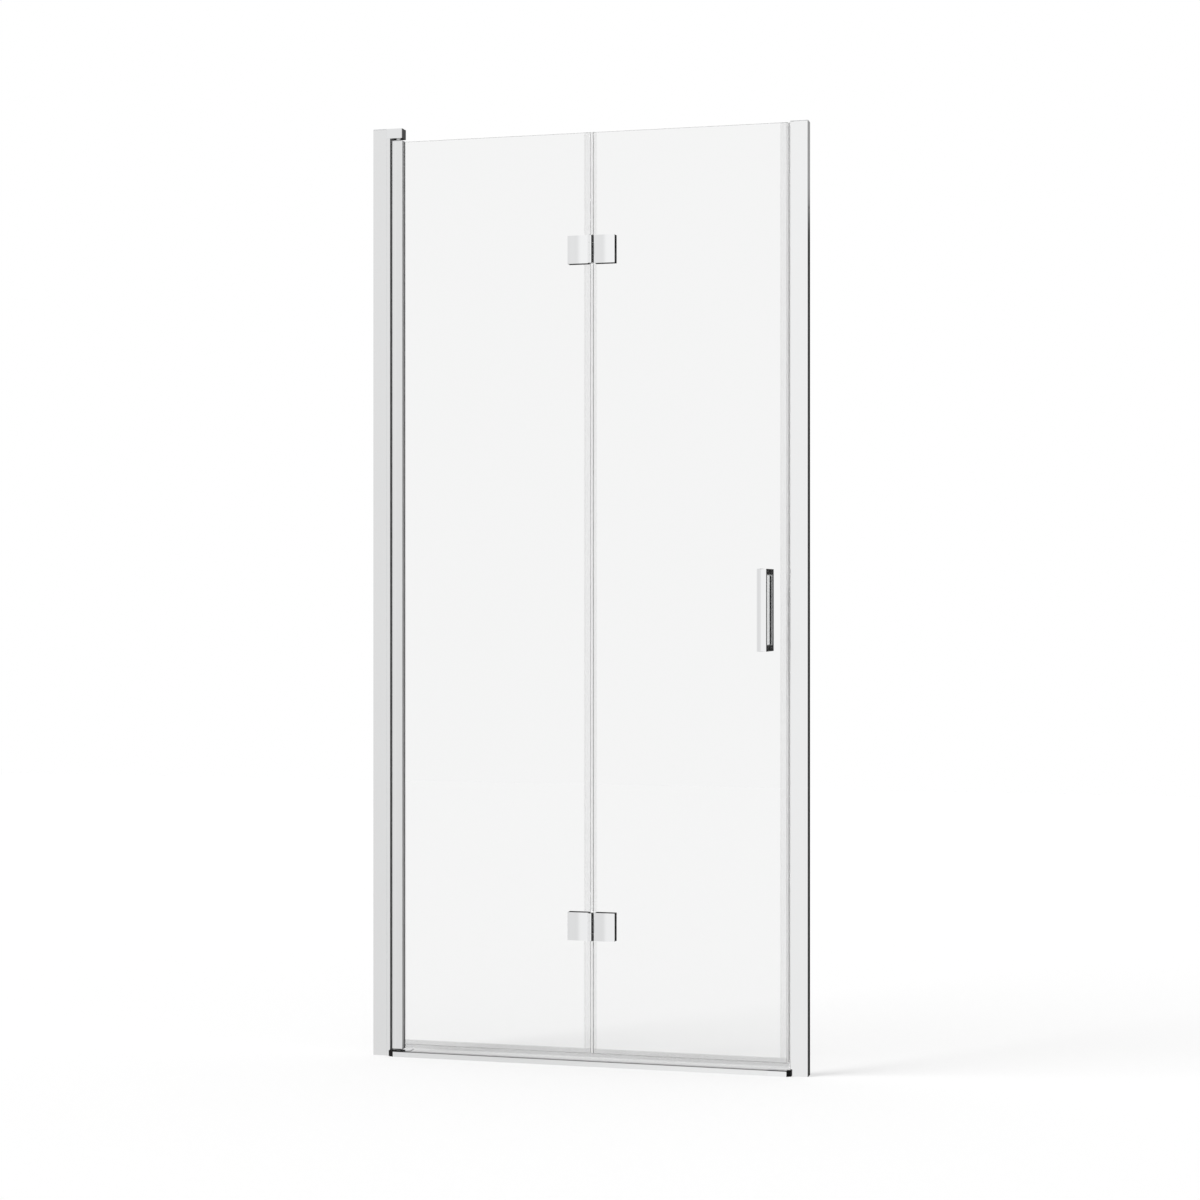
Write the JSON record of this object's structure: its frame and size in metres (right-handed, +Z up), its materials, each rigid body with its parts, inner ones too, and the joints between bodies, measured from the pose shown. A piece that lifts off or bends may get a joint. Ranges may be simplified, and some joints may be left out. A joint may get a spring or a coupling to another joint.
{
  "type": "bifold shower door",
  "caption": "Framed niche shower door: a pane on a pivot profile and a folding pane with a handle, joined by glass hinges, over a low threshold rail.",
  "frame": {"origin": "on the floor, midway between the walls, in the mid-plane of the closed glass", "axes": "+X to the right seen from the room, +Y into the shower, +Z up"},
  "size_m": [0.88, 0.079, 1.85],
  "materials": {
    "profile_chrome": "brightly polished and anodised aluminium profile, chrome look",
    "fitting_chrome": "chromed cast fitting",
    "clear_glass": "clear toughened glass with ground edges",
    "clear_seal": "clear soft extruded plastic",
    "grey_gasket": "grey soft gasket",
    "black_gasket": "black rubber",
    "grey_plastic": "silver grey moulded plastic",
    "black_plastic": "black moulded plastic",
    "white_plastic": "white low-friction plastic",
    "steel": "stainless steel",
    "magnet": "white flexible magnet strip"
  },
  "bodies": {
    "frame": {"wall_channel_left": "profile_chrome", "wall_channel_right": "profile_chrome", "adjuster_left": "profile_chrome", "adjuster_right": "profile_chrome", "top_cap_left": "grey_plastic", "top_cap_right": "grey_plastic", "clamp_screws_left": "steel", "clamp_screws_right": "steel", "top_pivot_bracket": "fitting_chrome", "bracket_grub_screw": "steel", "pivot_pin_top": "steel", "pivot_pin_bottom": "steel", "pivot_side_seal": "grey_gasket", "threshold_rail": "profile_chrome", "threshold_end_left": "fitting_chrome", "threshold_end_right": "fitting_chrome", "corner_seal_left": "black_gasket", "corner_seal_right": "black_gasket", "fixed_magnet_strip": "magnet"},
    "pivot_panel": {"pivot_profile": "profile_chrome", "pivot_plug_top": "grey_plastic", "pivot_plug_bottom": "black_plastic", "pivot_bush_top": "white_plastic", "pivot_bush_bottom": "white_plastic", "glazing_gaskets": "grey_gasket", "glass_left": "clear_glass", "bottom_seal_left": "clear_seal", "centre_seal_left": "clear_seal", "hinge_leaf_upper_left": "fitting_chrome", "hinge_leaf_lower_left": "fitting_chrome", "hinge_clamp_upper_left": "fitting_chrome", "hinge_clamp_lower_left": "fitting_chrome", "hinge_gaskets_left": "black_gasket", "hinge_sleeves_left": "white_plastic", "hinge_screws_left": "steel", "hinge_pin_upper": "steel", "hinge_pin_lower": "steel", "hinge_washers": "white_plastic"},
    "handle_panel": {"glass_right": "clear_glass", "bottom_seal_right": "clear_seal", "centre_seal_right": "clear_seal", "magnetic_seal": "clear_seal", "door_magnet": "magnet", "hinge_leaf_upper_right": "fitting_chrome", "hinge_leaf_lower_right": "fitting_chrome", "hinge_clamp_upper_right": "fitting_chrome", "hinge_clamp_lower_right": "fitting_chrome", "hinge_gaskets_right": "black_gasket", "hinge_sleeves_right": "white_plastic", "hinge_screws_right": "steel", "handle_outer": "fitting_chrome", "handle_inner": "fitting_chrome", "handle_gaskets": "black_gasket", "handle_sleeves": "white_plastic", "handle_studs": "steel"}
  },
  "joints": [
    {"name": "pivot_swing", "type": "hinge", "parent": "frame", "child": "pivot_panel", "pos_m": [-0.39055, 0, 0.9], "axis": [0, 0, 1], "range_deg": [0, 90]},
    {"name": "panel_fold", "type": "hinge", "parent": "pivot_panel", "child": "handle_panel", "pos_m": [0.0105, -0.0095, 0.9], "axis": [0, 0, -1], "range_deg": [0, 170]}
  ]
}
